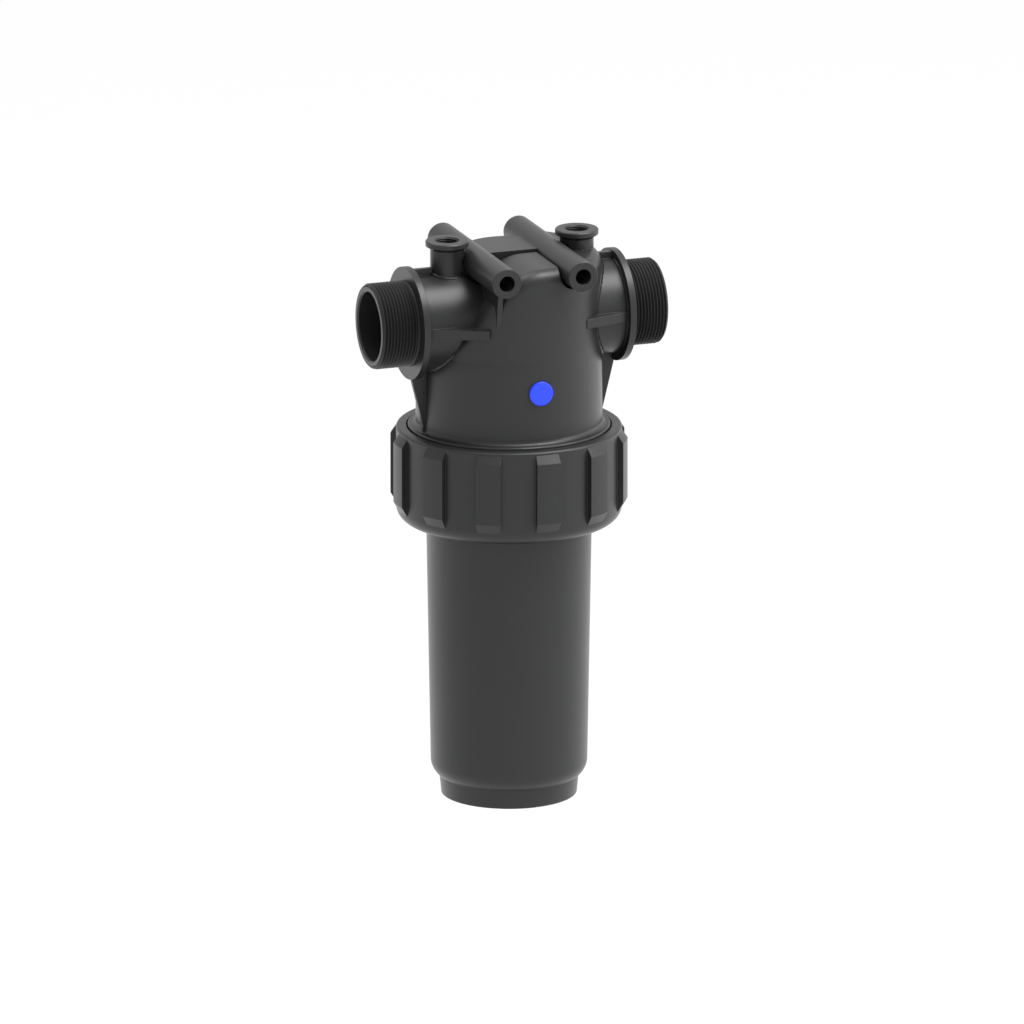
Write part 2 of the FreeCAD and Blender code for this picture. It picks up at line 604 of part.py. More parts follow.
def bowl():
    """Tapered bowl with foot, flange, spigot with seal groove and a locating ring on its floor."""
    flange_bottom = slip_top() + FLANGE_GAP * HALF
    flange_top = SKIRT_BOTTOM - FLANGE_GAP
    spigot = SKIRT_BORE_RADIUS - BOWL_SPIGOT_CLEARANCE
    inner_low = bowl_radius(BOWL_FLOOR) - BOWL_WALL
    inner_high = BOWL_HIGH_RADIUS - BOWL_WALL
    foot_inner = BOWL_FOOT_RADIUS - BOWL_FOOT_RIM
    groove_low = BOWL_SEAL_HEIGHT - BOWL_SEAL_GROOVE_HALF
    groove_high = BOWL_SEAL_HEIGHT + BOWL_SEAL_GROOVE_HALF
    groove = spigot - BOWL_SEAL_GROOVE_DEPTH
    floor_round = quarter((inner_low - BOWL_FLOOR_ROUND, BOWL_FLOOR + BOWL_FLOOR_ROUND),
                          BOWL_FLOOR_ROUND, 0, -90)
    locator_outer = LOCATOR_RADIUS + LOCATOR_THICKNESS
    locator_top = BOWL_FLOOR + LOCATOR_HEIGHT
    return turned([(0, BOWL_FOOT_RECESS), (foot_inner - BOWL_FOOT_RECESS, BOWL_FOOT_RECESS), (foot_inner, 0),
                   (BOWL_FOOT_RADIUS - BOWL_FOOT_EDGE, 0),
                   quarter((BOWL_FOOT_RADIUS - BOWL_FOOT_EDGE, BOWL_FOOT_EDGE), BOWL_FOOT_EDGE, -90, 0),
                   (BOWL_FOOT_TOP_RADIUS, BOWL_FOOT_HEIGHT),
                   ((BOWL_ROUND_MID_RADIUS, BOWL_ROUND_MID), (BOWL_LOW_RADIUS, BOWL_ROUND_TOP)),
                   (bowl_radius(flange_bottom), flange_bottom), (FLANGE_RADIUS, flange_bottom),
                   (FLANGE_RADIUS, flange_top), (spigot, flange_top), (spigot, groove_low),
                   (groove, groove_low), (groove, groove_high), (spigot, groove_high),
                   (spigot, BOWL_SPIGOT_TOP - BOWL_SPIGOT_LEAD_IN),
                   (spigot - BOWL_SPIGOT_LEAD_IN, BOWL_SPIGOT_TOP), (inner_high, BOWL_SPIGOT_TOP),
                   (inner_high, NUT_LIP_TOP), (inner_low, BOWL_FLOOR + BOWL_FLOOR_ROUND), floor_round,
                   (locator_outer, BOWL_FLOOR), (locator_outer, locator_top),
                   (LOCATOR_RADIUS, locator_top), (LOCATOR_RADIUS, BOWL_FLOOR), (0, BOWL_FLOOR)])


def seal_ring(section, radius, height):
    """O-ring about Z."""
    return Part.makeTorus(radius, section, at(0, 0, height), Z_AXIS)


def bowl_seal():
    """O-ring that sits in the spigot's groove and touches the skirt's bore."""
    return seal_ring(BOWL_SEAL_SECTION, SKIRT_BORE_RADIUS - BOWL_SEAL_SECTION, BOWL_SEAL_HEIGHT)


def socket_radius():
    return ELBOW_RADIUS + SCREEN_SOCKET_CLEARANCE


def mesh_outer():
    return CAGE_RADIUS + MESH_CLEARANCE + MESH_THICKNESS


def screen_top_ring():
    """Top end ring: socket for the spigot with a seal groove, and a rim over the cage and mesh."""
    bottom = SCREEN_TOP - SCREEN_TOP_RING_HEIGHT
    seal_height = SCREEN_TOP - SCREEN_SEAL_DROP
    groove = socket_radius() + SCREEN_SEAL_SECTION * 2 - SCREEN_SOCKET_CLEARANCE
    rim_bore = mesh_outer() + MESH_CLEARANCE
    rim_bottom = bottom - CAGE_SEAT
    plate_bottom = bottom - SCREEN_PLATE_THICKNESS
    plate_edge = rim_bottom - SCREEN_PLATE_THICKNESS
    socket_floor = plate_bottom + SCREEN_LIP_HEIGHT
    wall = groove + SCREEN_PLATE_THICKNESS
    return turned([(SCREEN_LIP_RADIUS, plate_bottom), (SCREEN_LIP_RADIUS, socket_floor),
                   (socket_radius(), socket_floor), (socket_radius(), seal_height - SCREEN_SEAL_SECTION),
                   (groove, seal_height - SCREEN_SEAL_SECTION), (groove, seal_height + SCREEN_SEAL_SECTION),
                   (socket_radius(), seal_height + SCREEN_SEAL_SECTION), (socket_radius(), SCREEN_TOP),
                   (wall, SCREEN_TOP), (wall, bottom), (SCREEN_RADIUS, bottom), (SCREEN_RADIUS, plate_edge),
                   (rim_bore, plate_edge), (rim_bore, plate_bottom)])


def cage_top():
    return SCREEN_TOP - SCREEN_TOP_RING_HEIGHT - SCREEN_PLATE_THICKNESS


def cage_bottom():
    return SCREEN_BOTTOM + SCREEN_PLATE_THICKNESS


def screen_bottom_cap():
    """Closed bottom end: a cup round the cage and a hollow stub that stands in the bowl's locating ring."""
    rim_bore = mesh_outer() + MESH_CLEARANCE
    stub = LOCATOR_RADIUS - STUB_CLEARANCE
    stub_bottom = BOWL_FLOOR + STUB_FLOOR_GAP
    return turned([(0, SCREEN_BOTTOM), (stub - STUB_WALL, SCREEN_BOTTOM), (stub - STUB_WALL, stub_bottom),
                   (stub, stub_bottom), (stub, SCREEN_BOTTOM), (SCREEN_RADIUS, SCREEN_BOTTOM),
                   (SCREEN_RADIUS, SCREEN_BOTTOM + SCREEN_BOTTOM_CAP_HEIGHT),
                   (rim_bore, SCREEN_BOTTOM + SCREEN_BOTTOM_CAP_HEIGHT), (rim_bore, cage_bottom()),
                   (0, cage_bottom())])


def screen_cage():
    """Ribbed tube: upright ribs joined by level hoops."""
    inner = CAGE_RADIUS - CAGE_WALL
    solids = []
    step = (cage_top() - cage_bottom() - CAGE_HOOP_HEIGHT) / (CAGE_HOOP_COUNT - 1)
    for index in range(CAGE_HOOP_COUNT):
        low = cage_bottom() + index * step
        high = low + CAGE_HOOP_HEIGHT
        solids.append(turned([(inner, low), (CAGE_RADIUS, low), (CAGE_RADIUS, high), (inner, high)]))
    half_width = math.degrees(CAGE_RIB_WIDTH * HALF / CAGE_RADIUS)
    for index in range(CAGE_RIB_COUNT):
        rib = turned([(inner, cage_bottom()), (CAGE_RADIUS, cage_bottom()),
                      (CAGE_RADIUS, cage_top()), (inner, cage_top())], half_width * 2)
        rib.rotate(ORIGIN, Z_AXIS, index * FULL_TURN / CAGE_RIB_COUNT - half_width)
        solids.append(rib)
    return joined(solids)


def screen_mesh():
    """Thin sleeve of mesh round the cage."""
    inner = CAGE_RADIUS + MESH_CLEARANCE
    outer = mesh_outer()
    return turned([(inner, cage_bottom()), (outer, cage_bottom()), (outer, cage_top()), (inner, cage_top())])


def screen_seal():
    """O-ring in the screen's top ring, on the head's spigot."""
    return seal_ring(SCREEN_SEAL_SECTION, ELBOW_RADIUS + SCREEN_SEAL_SECTION, SCREEN_TOP - SCREEN_SEAL_DROP)


PIECES = {
    "filter_head": filter_head,
    "indicator_cap": indicator_cap,
    "ring_nut": ring_nut,
    "slip_ring": slip_ring,
    "bowl": bowl,
    "bowl_seal": bowl_seal,
    "screen_top_ring": screen_top_ring,
    "screen_bottom_cap": screen_bottom_cap,
    "screen_cage": screen_cage,
    "screen_mesh": screen_mesh,
    "screen_seal": screen_seal,
}

os.makedirs("parts", exist_ok=True)
for name, make in PIECES.items():
    shape = make()
    shape.exportStep("parts/" + name + ".step")
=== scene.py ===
import json
import math

import bpy
import numpy as np
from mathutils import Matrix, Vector


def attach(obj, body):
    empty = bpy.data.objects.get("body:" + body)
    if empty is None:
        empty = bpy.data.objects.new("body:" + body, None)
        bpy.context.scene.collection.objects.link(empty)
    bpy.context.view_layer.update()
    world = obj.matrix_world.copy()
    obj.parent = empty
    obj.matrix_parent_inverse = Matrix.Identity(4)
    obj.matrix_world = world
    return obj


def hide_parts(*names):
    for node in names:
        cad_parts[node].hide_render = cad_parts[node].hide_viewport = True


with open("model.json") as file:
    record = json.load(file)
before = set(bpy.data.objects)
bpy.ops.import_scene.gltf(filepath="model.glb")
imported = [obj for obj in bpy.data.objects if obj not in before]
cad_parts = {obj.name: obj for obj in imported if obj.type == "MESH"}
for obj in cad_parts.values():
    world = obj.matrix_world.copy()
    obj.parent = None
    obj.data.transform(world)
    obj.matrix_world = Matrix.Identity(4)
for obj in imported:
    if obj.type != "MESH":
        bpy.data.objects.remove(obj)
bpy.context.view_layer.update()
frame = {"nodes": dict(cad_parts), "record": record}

# Inline mesh filter, in metres, in the same frame as the CAD: bowl axis Z, ports along X, front -Y.
MM = 0.001

# Camera: the photograph's angle, a long lens far away
VIEW_AZIMUTH = math.radians(-19.84)
VIEW_ELEVATION = math.radians(15.5)
CAMERA_DISTANCE = 20.0
CAMERA_LENS = 1019.5
AIM_HEIGHT = 0.2
AIM_RIGHT = 2.07 * MM
AIM_DOWN = 0.11 * MM
SENSOR_WIDTH = 36.0

# Ports and gauge bosses, as in the CAD
PORT_AXIS = np.array([0.0, -6.0, 343.4]) * MM
DISC_FACE = 77.5 * MM
PORT_END = 104.3 * MM
PORT_CREST = 29.8 * MM
PORT_TIP = 28.2 * MM
PORT_PITCH = 2.309 * MM
PORT_DEPTH = 1.479 * MM
PORT_CORE = 27.6 * MM
BOSS_X = 47.4 * MM
BOSS_TOP = 399.8 * MM
GAUGE_CREST = 7.5 * MM
GAUGE_PITCH = 1.337 * MM
GAUGE_DEPTH = 0.83 * MM
GAUGE_CHAMFER = 1.1 * MM
GAUGE_WALL = 8.4 * MM
GAUGE_THREAD_LENGTH = 12.9 * MM
THREAD_STEPS = 120
GAUGE_STEPS = 60

# Places along the axis in each turn of a thread, and the turns over which its grooves run out
PORT_PLACES = np.arange(10) / 10
GAUGE_PLACES = np.arange(8) / 8
SCREW_PLACES = np.arange(12) / 12
PORT_RUNOUT = 1.2
GAUGE_RUNOUT = 3

# The port's wall goes this far inside the tip of its lead-in, and the other threads reach this far
# into their walls, so that no two faces lie in one place
PORT_WALL_DROP = 0.2 * MM
GAUGE_SINK = 0.3 * MM
SKIRT_SINK = 0.05 * MM
NUT_SINK = 0.1 * MM

# Points of the CAD are taken to lie on a wall within this distance
ON_WALL = 0.05 * MM

# Edges sharper than this stay sharp, in degrees
SHARP_ANGLE = 38

# Screw between head and ring nut: crests at the CAD's walls, grooves cut into either
SCREW_PITCH = 6.0 * MM
SCREW_DEPTH = 2.0 * MM
SCREW_FLAT = 0.3
SKIRT_ENDS = np.array([212.0, 264.6]) * MM
SKIRT_SCREW = np.array([206.0, 248.0]) * MM
SKIRT_CREST = 69.9 * MM
SKIRT_EDGE = 0.7 * MM
SKIRT_CORE = 67.6 * MM
NUT_ENDS = np.array([203.2, 260.5]) * MM
NUT_SCREW = np.array([215.0, 252.0]) * MM
NUT_CREST = 70.4 * MM
NUT_CORE = 72.7 * MM

# Necks, body and tubes of the head, as in the CAD, and the fillets between them
NECK_ROOT = 35.0 * MM
NECK_END = 33.2 * MM
DISC_BACK = 72.9 * MM
BARREL_FOOT = np.array([64.5, 267.6]) * MM
DOME_RADIUS = 64.0 * MM
DOME_BASE = 315.0 * MM
DRUM_RADIUS = 63.6 * MM
DRUM_BASE = 320.0 * MM
BOSS_RADIUS = 11.7 * MM
TUBE_AXIS = np.array([27.8, 383.6]) * MM
TUBE_ROOM = 12.4 * MM
TUBE_ROOM_BACK = -11.5 * MM
BODY_FILLET = 2.2 * MM
DISC_FILLET = 1.2 * MM
BOSS_FILLET = 1.4 * MM
FILLET_STEPS = 160
FILLET_COLUMNS = 9
HALVINGS = 40


# Meshes

def new_object(name, points, faces):
    """Object at the origin from an array of points and an array or list of faces."""
    mesh = bpy.data.meshes.new(name)
    mesh.from_pydata(np.asarray(points, float).tolist(), [], np.asarray(faces).tolist())
    mesh.update()
    thing = bpy.data.objects.new(name, mesh)
    bpy.context.scene.collection.objects.link(thing)
    return thing


def weld(points, faces, step=1e-7):
    """Points that coincide become one; triangles that lose a corner by it are dropped."""
    keys = np.round(points / step).astype(np.int64)
    _, first, index = np.unique(keys, axis=0, return_index=True, return_inverse=True)
    index = index.ravel()
    faces = index[faces]
    whole = (faces[:, 0] != faces[:, 1]) & (faces[:, 1] != faces[:, 2]) & (faces[:, 2] != faces[:, 0])
    return points[first], faces[whole], whole


def closed_tube(name, rows):
    """Closed shell from rows[i, j] of points: j runs round a closed section, i once round the axis.

    Each cell between neighbouring rows and columns is split into two triangles, then the seams are welded.
    """
    turns, section = rows.shape[:2]
    i, j = np.meshgrid(np.arange(turns - 1), np.arange(section), indexing="ij")
    a = i * section + j
    b = i * section + (j + 1) % section
    c, d = a + section, b + section
    faces = np.concatenate([np.stack([a, b, d], -1).reshape(-1, 3),
                            np.stack([a, d, c], -1).reshape(-1, 3)])
    points, faces, _ = weld(rows.reshape(-1, 3), faces, 1e-8)
    volume = np.einsum("ij,ij->i", points[faces[:, 0]],
                       np.cross(points[faces[:, 1]], points[faces[:, 2]])).sum()
    if volume < 0:
        faces = faces[:, ::-1]
    return new_object(name, points, faces)


def smooth(thing, angle):
    """Smooth shading that keeps edges sharper than the angle."""
    mesh = thing.data
    mesh.polygons.foreach_set("use_smooth", np.ones(len(mesh.polygons), bool))
    mesh.set_sharp_from_angle(angle=math.radians(angle))


# Threads

def thread_wave(turns, flat=0.1):
    """0 on a thread's crest and 1 in its root, along the axis measured in turns.

    A triangle wave with both tips cut flat and eased by a smooth step.
    """
    wave = np.abs((turns % 1.0) * 2 - 1)
    wave = np.clip((wave - flat) / (1 - 2 * flat), 0, 1)
    return wave * wave * (3 - 2 * wave) * 0.5 + wave * 0.5


def thread_rows(start, end, pitch, steps, offsets):
    """Grid of angle and place along the axis whose lines follow the helix.

    place = start + pitch * (turn + offset + angle / full turn), held between start and end.
    """
    share = np.linspace(0, 1, steps + 1)
    turns = np.arange(-1, math.ceil((end - start) / pitch) + 1)
    places = (turns[:, None] + np.asarray(offsets)[None, :]).ravel()
    along = start + pitch * (places[None, :] + share[:, None])
    return share[:, None] * np.ones_like(along), np.clip(along, start, end)


def outer_thread(name, side):
    """Male pipe thread of one port, cut by the lead-in cone.

    radius = crest - depth * wave(place / pitch - angle)
    """
    share, along = thread_rows(DISC_FACE, PORT_END, PORT_PITCH, THREAD_STEPS, PORT_PLACES)
    wave = thread_wave((along - DISC_FACE) / PORT_PITCH - share)
    fade = np.clip((along - DISC_FACE) / (PORT_RUNOUT * PORT_PITCH), 0, 1)
    radius = PORT_CREST - PORT_DEPTH * wave * fade
    radius = np.minimum(radius, PORT_TIP + (PORT_END - along))
    ends = np.full((len(share), 1), PORT_CORE)
    radius = np.hstack([ends, radius, ends])
    along = np.hstack([np.full_like(ends, DISC_FACE), along, np.full_like(ends, PORT_END)])
    share = np.hstack([share[:, :1], share, share[:, :1]])
    angle = 2 * math.pi * share
    rows = np.stack([side * along, PORT_AXIS[1] + radius * np.cos(angle),
                     PORT_AXIS[2] + radius * np.sin(angle)], -1)
    return closed_tube(name, rows)


def inner_thread(name, side):
    """Female gauge thread of one boss, opened by the chamfer.

    radius = crest + depth * wave(place / pitch - angle)
    """
    bottom = BOSS_TOP - GAUGE_CHAMFER - GAUGE_THREAD_LENGTH
    top = BOSS_TOP - (GAUGE_CREST + GAUGE_CHAMFER - GAUGE_WALL)
    share, along = thread_rows(bottom, top, GAUGE_PITCH, GAUGE_STEPS, GAUGE_PLACES)
    wave = thread_wave((along - bottom) / GAUGE_PITCH - share)
    fade = np.clip((along - bottom) / (GAUGE_RUNOUT * GAUGE_PITCH), 0, 1)
    radius = GAUGE_CREST + GAUGE_DEPTH * wave * fade
    radius = np.maximum(radius, GAUGE_WALL - (top - along))
    ends = np.full((len(share), 1), GAUGE_WALL + GAUGE_SINK)
    radius = np.hstack([ends, radius, ends])
    along = np.hstack([np.full_like(ends, bottom), along, np.full_like(ends, top)])
    share = np.hstack([share[:, :1], share, share[:, :1]])
    angle = 2 * math.pi * share
    rows = np.stack([side * BOSS_X + radius * np.cos(angle),
                     PORT_AXIS[1] + radius * np.sin(angle), along], -1)
    return closed_tube(name, rows)


def screw_thread(name, ends, zone, crest, side, core, edge):
    """Coarse thread about the bowl's axis: radius = crest - side * depth * wave(place / pitch - angle).

    Side is 1 for the skirt and -1 for the nut. The grooves run out at the zone's ends, and
    the edge is the bevel at both ends of the wall.
    """
    share, along = thread_rows(ends[0], ends[1], SCREW_PITCH, THREAD_STEPS, SCREW_PLACES)
    wave = thread_wave((along - SKIRT_ENDS[0]) / SCREW_PITCH - share, SCREW_FLAT)
    fade = np.clip(np.minimum(along - zone[0], zone[1] - along) / SCREW_PITCH, 0, 1)
    radius = crest - side * SCREW_DEPTH * wave * fade
    if edge:
        from_end = np.minimum(along - ends[0], ends[1] - along)
        radius = np.minimum(radius, crest - edge + from_end)
    rim = np.full((len(share), 1), core)
    radius = np.hstack([rim, radius, rim])
    along = np.hstack([np.full_like(rim, ends[0]), along, np.full_like(rim, ends[1])])
    share = np.hstack([share[:, :1], share, share[:, :1]])
    angle = 2 * math.pi * share
    return closed_tube(name, np.stack([radius * np.cos(angle), radius * np.sin(angle), along], -1))


def reshaped(node, name, move_walls):
    """Copy of a CAD piece with its own shading, some walls moved; points that coincide are joined."""
    source = frame["nodes"][node].data
    points = np.empty(len(source.vertices) * 3, np.float32)
    source.vertices.foreach_get("co", points)
    points = points.reshape(-1, 3).astype(float)
    corners = np.empty(len(source.loops), np.int32)
    source.loops.foreach_get("vertex_index", corners)
    normals = np.empty(len(source.loops) * 3, np.float32)
    source.corner_normals.foreach_get("vector", normals)
    move_walls(points)
    points, faces, whole = weld(points, corners.reshape(-1, 3))
    thing = new_object(name, points, faces)
    mesh = thing.data
    mesh.polygons.foreach_set("use_smooth", np.ones(len(mesh.polygons), bool))
    mesh.normals_split_custom_set(normals.reshape(-1, 3, 3)[whole].reshape(-1, 3).tolist())
    return thing


def move_round_wall(points, chosen, centre, axes, radius):
    """Moves the chosen points to a radius round a centre, in the plane of two axes."""
    offset = points[np.ix_(chosen, axes)] - centre
    size = np.hypot(offset[:, 0], offset[:, 1])
    points[np.ix_(chosen, axes)] = centre + offset * (radius / size)[:, None]


def head_walls(points):
    """Port and skirt walls go in to their threads' cores, the gauge holes' walls out to theirs."""
    radius = np.hypot(points[:, 1] - PORT_AXIS[1], points[:, 2] - PORT_AXIS[2])
    outside = (radius > PORT_TIP) & (radius < PORT_CREST + 2 * ON_WALL)
    spigot = (np.abs(points[:, 0]) > DISC_FACE - 0.01 * MM) & outside
    move_round_wall(points, spigot, PORT_AXIS[1:], [1, 2], PORT_TIP - PORT_WALL_DROP)
    for side in (-1, 1):
        centre = np.array([side * BOSS_X, PORT_AXIS[1]])
        radius = np.hypot(points[:, 0] - centre[0], points[:, 1] - centre[1])
        wall = (np.abs(radius - GAUGE_CREST) < 2 * ON_WALL) & (points[:, 2] > BOSS_TOP - 2 * MM)
        move_round_wall(points, wall, centre, [0, 1], GAUGE_WALL)
    radius = np.hypot(points[:, 0], points[:, 1])
    below_collar = points[:, 2] < SKIRT_ENDS[1] + ON_WALL
    skirt = (radius > SKIRT_CREST - SKIRT_EDGE - ON_WALL) & below_collar
    move_round_wall(points, skirt, np.zeros(2), [0, 1], SKIRT_CORE)


def nut_walls(points):
    """The nut's bore goes out to its thread's core."""
    bore = np.abs(np.hypot(points[:, 0], points[:, 1]) - NUT_CREST) < ON_WALL
    move_round_wall(points, bore, np.zeros(2), [0, 1], NUT_CORE)


# Fillets of the head

def fillet_strip(name, centres, radius, first, second):
    """Closed strip that fills a corner with a rolling ball's round.

    The ball's centres run along the corner, first and second point from them to the two walls.
    point = centre + radius * unit((1 - t) * first + t * second); the last column is the corner itself.
    """
    share = np.linspace(0, 1, FILLET_COLUMNS)[None, :, None]
    towards = (1 - share) * first[:, None] + share * second[:, None]
    towards /= np.linalg.norm(towards, axis=-1, keepdims=True)
    radius = np.broadcast_to(radius, centres.shape[:1])[:, None, None]
    corner = (first + second) / (1 + np.sum(first * second, axis=-1, keepdims=True))
    arc = centres[:, None] + radius * towards
    rows = np.concatenate([arc, centres[:, None] + radius * corner[:, None]], axis=1)
    rows[-1] = rows[0]
    thing = closed_tube(name, rows)
    smooth(thing, SHARP_ANGLE)
    return thing


def neck_radius(along):
    """Radius of the tapered neck at a distance from the middle of the head."""
    return NECK_ROOT + (NECK_END - NECK_ROOT) * along / DISC_BACK


def body_gap(x, y, z, drum):
    """Distance from the dome and the barrel below it, and the way out of them; with the drum if asked."""
    rise = np.maximum(z - DOME_BASE, 0)
    out = np.stack([x, y, rise], -1)
    size = np.linalg.norm(out, axis=-1)
    drop = np.maximum(DOME_BASE - z, 0) / (DOME_BASE - BARREL_FOOT[1])
    gap = size - DOME_RADIUS - drop * (BARREL_FOOT[0] - DOME_RADIUS)
    if drum:
        flat = np.stack([x, y, np.zeros_like(x)], -1)
        flat_size = np.linalg.norm(flat, axis=-1)
        flat_gap = np.where(z > DRUM_BASE, flat_size - DRUM_RADIUS, 1.0)
        nearer = flat_gap < gap
        gap = np.where(nearer, flat_gap, gap)
        out = np.where(nearer[:, None], flat, out)
        size = np.where(nearer, flat_size, size)
    return gap, out / size[:, None]


def neck_fillet(name, side):
    """Fillet where a neck meets the body.

    Each ball centre is found by halving the span of its distance along the neck.
    """
    angle = np.linspace(0, 2 * math.pi, FILLET_STEPS + 1)
    round_neck = np.stack([np.zeros_like(angle), np.cos(angle), np.sin(angle)], -1)
    low = np.zeros_like(angle)
    high = np.full_like(angle, DISC_BACK)
    for _ in range(HALVINGS):
        along = (low + high) / 2
        centres = PORT_AXIS + (neck_radius(along) + BODY_FILLET)[:, None] * round_neck
        centres[:, 0] = side * along
        gap, out = body_gap(*centres.T, side > 0)
        inside = gap < BODY_FILLET
        low = np.where(inside, along, low)
        high = np.where(inside, high, along)
    return fillet_strip(name, centres, BODY_FILLET, -round_neck, -out)


def disc_fillet(name, side):
    """Fillet where a neck meets the back of its disc: a ring."""
    angle = np.linspace(0, 2 * math.pi, FILLET_STEPS + 1)
    round_neck = np.stack([np.zeros_like(angle), np.cos(angle), np.sin(angle)], -1)
    along = DISC_BACK - DISC_FILLET
    centres = PORT_AXIS + (neck_radius(along) + DISC_FILLET) * round_neck
    centres[:, 0] = side * along
    towards_disc = np.array([[side, 0.0, 0.0]]) + 0 * centres
    return fillet_strip(name, centres, DISC_FILLET, -round_neck, towards_disc)


def boss_fillet(name, side):
    """Fillet where a gauge boss stands on its neck; it runs out where the bolt tube has its room.

    Its radius settles in two rounds, because the room left depends on it.
    """
    angle = np.linspace(0, 2 * math.pi, FILLET_STEPS + 1)
    round_boss = np.stack([np.cos(angle), np.sin(angle), np.zeros_like(angle)], -1)
    radius = np.zeros_like(angle)
    for _ in range(2):
        flat = (BOSS_RADIUS + radius)[:, None] * round_boss
        across = neck_radius(BOSS_X) + radius
        lift = np.sqrt(across ** 2 - flat[:, 1] ** 2)
        from_tube = np.hypot(BOSS_X + side * flat[:, 0] - TUBE_AXIS[0], PORT_AXIS[2] + lift - TUBE_AXIS[1])
        free = np.clip((from_tube - TUBE_ROOM) / (2 * BOSS_FILLET) - 0.5, 0, 1)
        free = np.where(PORT_AXIS[1] + flat[:, 1] > TUBE_ROOM_BACK + 2 * BOSS_FILLET, 1.0, free)
        radius = BOSS_FILLET * free
    flat = (BOSS_RADIUS + radius)[:, None] * round_boss
    across = neck_radius(BOSS_X) + radius
    lift = np.sqrt(across ** 2 - flat[:, 1] ** 2)
    centres = np.stack([side * BOSS_X + flat[:, 0], PORT_AXIS[1] + flat[:, 1], PORT_AXIS[2] + lift], -1)
    round_neck = np.stack([np.zeros_like(lift), flat[:, 1], lift], -1) / across[:, None]
    return fillet_strip(name, centres, radius, -round_boss, -round_neck)


# Node groups

NOISE_ROUGHNESS = 0.55


def group(name, inputs, outputs):
    """Empty shader node group with named inputs and outputs; returns it with its two end nodes."""
    tree = bpy.data.node_groups.new(name, "ShaderNodeTree")
    for label, kind, value in inputs:
        socket = tree.interface.new_socket(label, in_out="INPUT", socket_type=kind)
        if value is not None:
            socket.default_value = value
    for label, kind in outputs:
        tree.interface.new_socket(label, in_out="OUTPUT", socket_type=kind)
    return tree, tree.nodes.new("NodeGroupInput"), tree.nodes.new("NodeGroupOutput")


def math_node(tree, operation, first, second=None, clamp=False):
    """Maths node on sockets or plain numbers; returns its result."""
    made = tree.nodes.new("ShaderNodeMath")
    made.operation = operation
    made.use_clamp = clamp
    for place, value in enumerate((first, second)):
        if value is None:
            continue
        if isinstance(value, (int, float)):
            made.inputs[place].default_value = value
        else:
            tree.links.new(value, made.inputs[place])
    return made.outputs[0]


def noise(tree, vector, scale, detail):
    """Noise of a scale, a number or a socket; returns its value."""
    made = tree.nodes.new("ShaderNodeTexNoise")
    made.inputs["Detail"].default_value = detail
    made.inputs["Roughness"].default_value = NOISE_ROUGHNESS
    tree.links.new(vector, made.inputs["Vector"])
    if isinstance(scale, (int, float)):
        made.inputs["Scale"].default_value = scale
    else:
        tree.links.new(scale, made.inputs["Scale"])
    return made.outputs["Fac"]


def moulded_grain():
    """Fine grain of a spark-eroded mould: two noises, the finer one weaker.

    Puts out a height from 0 to 1.
    """
    tree, start, end = group("moulded_grain", [("Vector", "NodeSocketVector", None),
                                               ("Scale", "NodeSocketFloat", 1800.0)],
                             [("Height", "NodeSocketFloat")])
    vector, scale = start.outputs["Vector"], start.outputs["Scale"]
    coarse = noise(tree, vector, scale, 2)
    fine = noise(tree, vector, math_node(tree, "MULTIPLY", scale, 2.7), 1)
    height = math_node(tree, "ADD", math_node(tree, "MULTIPLY", coarse, 0.7),
                       math_node(tree, "MULTIPLY", fine, 0.3))
    tree.links.new(height, end.inputs["Height"])
    return tree


def tone_drift():
    """Slow change of tone and gloss over a moulding, as resin flow and handling leave it."""
    tree, start, end = group("tone_drift", [("Vector", "NodeSocketVector", None),
                                            ("Dark", "NodeSocketColor", (0, 0, 0, 1)),
                                            ("Light", "NodeSocketColor", (1, 1, 1, 1)),
                                            ("Scale", "NodeSocketFloat", 14.0),
                                            ("Roughness Low", "NodeSocketFloat", 0.4),
                                            ("Roughness High", "NodeSocketFloat", 0.5)],
                             [("Color", "NodeSocketColor"), ("Roughness", "NodeSocketFloat")])
    vector = start.outputs["Vector"]
    broad = noise(tree, vector, start.outputs["Scale"], 3)
    flecks = noise(tree, vector, 900.0, 2)
    share = math_node(tree, "ADD", math_node(tree, "MULTIPLY", broad, 0.7),
                      math_node(tree, "MULTIPLY", flecks, 0.3))
    mix = tree.nodes.new("ShaderNodeMix")
    mix.data_type = "RGBA"
    tree.links.new(share, mix.inputs["Factor"])
    tree.links.new(start.outputs["Dark"], mix.inputs["A"])
    tree.links.new(start.outputs["Light"], mix.inputs["B"])
    tree.links.new(mix.outputs["Result"], end.inputs["Color"])
    span = math_node(tree, "SUBTRACT", start.outputs["Roughness High"], start.outputs["Roughness Low"])
    rough = math_node(tree, "ADD", start.outputs["Roughness Low"], math_node(tree, "MULTIPLY", span, broad))
    tree.links.new(rough, end.inputs["Roughness"])
    return tree


